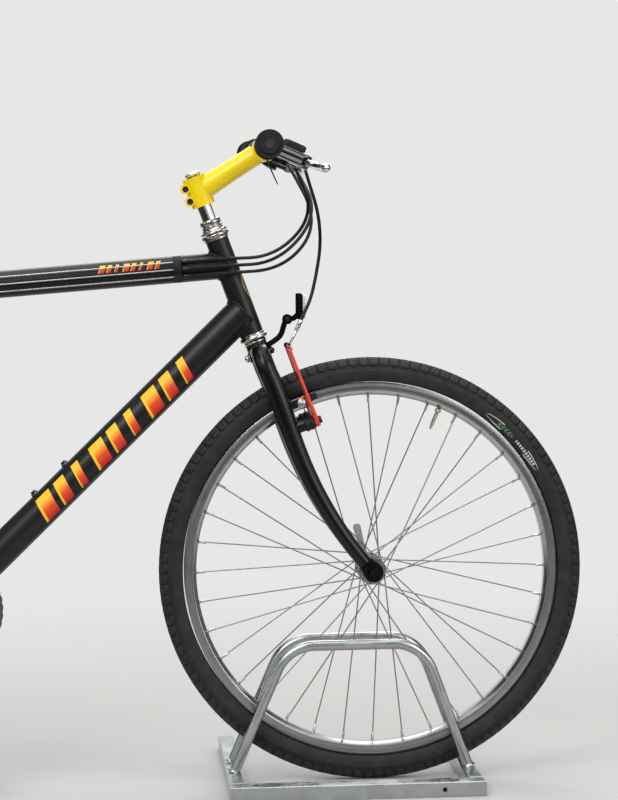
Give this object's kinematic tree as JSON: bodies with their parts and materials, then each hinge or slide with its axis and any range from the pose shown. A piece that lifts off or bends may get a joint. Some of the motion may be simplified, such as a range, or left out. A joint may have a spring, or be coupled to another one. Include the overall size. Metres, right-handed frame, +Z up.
{
  "type": "bicycle in a front wheel floor stand",
  "caption": "Rigid-fork mountain bicycle with turning wheels, steering, crank and pedals, held upright by a tubular floor stand around its front wheel.",
  "frame": {"origin": "on the floor, midway between the two wheels", "axes": "+X forward, +Y to the rider's left, +Z up"},
  "size_m": [1.7237, 0.569, 0.9868],
  "materials": {
    "zinc": "galvanised, satin",
    "frame_black": "satin black",
    "fork_black": "gloss black",
    "stem_yellow": "gloss yellow",
    "chrome": "polished",
    "alloy": "satin",
    "rim_alloy": "anodised, satin",
    "steel": "bright",
    "tyre": "matte",
    "rubber": "matte",
    "brake_red": "anodised",
    "plastic_black": "matte",
    "lens": "clear",
    "saddle_cover": "matte"
  },
  "bodies": {
    "front_end": {"stand_rail": "zinc", "stand_rear_channel": "zinc", "stand_front_channel": "zinc", "stand_hoops": "zinc", "fork_crown": "fork_black", "fork_blades": "fork_black", "front_axle": "alloy", "headset_races": "chrome", "quill_post": "chrome", "stem": "stem_yellow", "handlebar": "plastic_black", "grips": "rubber", "brake_lever_mounts": "plastic_black", "brake_levers": "alloy", "shifters": "plastic_black", "front_brake_arms": "brake_red", "front_brake_pads": "rubber", "front_brake_noodle": "chrome", "front_brake_cable": "plastic_black", "steering_cables": "plastic_black", "reflector_bracket": "plastic_black", "front_reflector": "lens"},
    "front_wheel": {"front_hub": "alloy", "front_spokes": "steel", "front_rim": "rim_alloy", "front_tyre": "tyre"},
    "frame": {"headset_cups": "chrome", "head_tube": "frame_black", "top_tube": "frame_black", "down_tube": "frame_black", "seat_tube": "frame_black", "bottom_bracket_shell": "frame_black", "chainstays": "frame_black", "seatstays": "frame_black", "rear_dropouts": "frame_black", "bottle_bosses": "alloy", "cable_stops": "frame_black", "top_tube_cables": "steel", "seat_clamp": "alloy", "seatpost": "chrome", "saddle_rails": "steel", "saddle": "saddle_cover", "rear_brake_arms": "brake_red", "rear_brake_pads": "rubber", "rear_axle": "alloy", "chain": "steel", "rear_derailleur": "steel", "front_derailleur": "steel", "rear_brake_noodle": "chrome", "rear_cables": "plastic_black"},
    "rear_wheel": {"rear_hub": "alloy", "rear_spokes": "steel", "rear_rim": "rim_alloy", "rear_tyre": "tyre", "sprockets": "steel"},
    "crank": {"chainrings": "steel", "crank_arm_right": "alloy", "crank_arm_left": "alloy"},
    "pedal_right": {"pedal_right": "plastic_black"},
    "pedal_left": {"pedal_left": "plastic_black"}
  },
  "joints": [
    {"name": "steering", "type": "hinge", "parent": "front_end", "child": "frame", "pos_m": [0.36195, 0, 0.68688], "axis": [-0.3379, 0, 0.9412], "range_deg": [-75, 75], "deforming": ["steering_cables"]},
    {"name": "front_wheel_spin", "type": "hinge", "parent": "front_end", "child": "front_wheel", "pos_m": [0.53792, 0, 0.324], "axis": [0, 1, 0], "continuous": true},
    {"name": "rear_wheel_spin", "type": "hinge", "parent": "frame", "child": "rear_wheel", "pos_m": [-0.53792, 0, 0.324], "axis": [0, 1, 0], "continuous": true},
    {"name": "crank_spin", "type": "hinge", "parent": "frame", "child": "crank", "pos_m": [-0.11008, 0, 0.281], "axis": [0, 1, 0], "continuous": true},
    {"name": "pedal_right_spin", "type": "hinge", "parent": "crank", "child": "pedal_right", "pos_m": [-0.11008, -0.13, 0.111], "axis": [0, 1, 0], "continuous": true},
    {"name": "pedal_left_spin", "type": "hinge", "parent": "crank", "child": "pedal_left", "pos_m": [-0.11008, 0.13, 0.451], "axis": [0, 1, 0], "continuous": true}
  ]
}
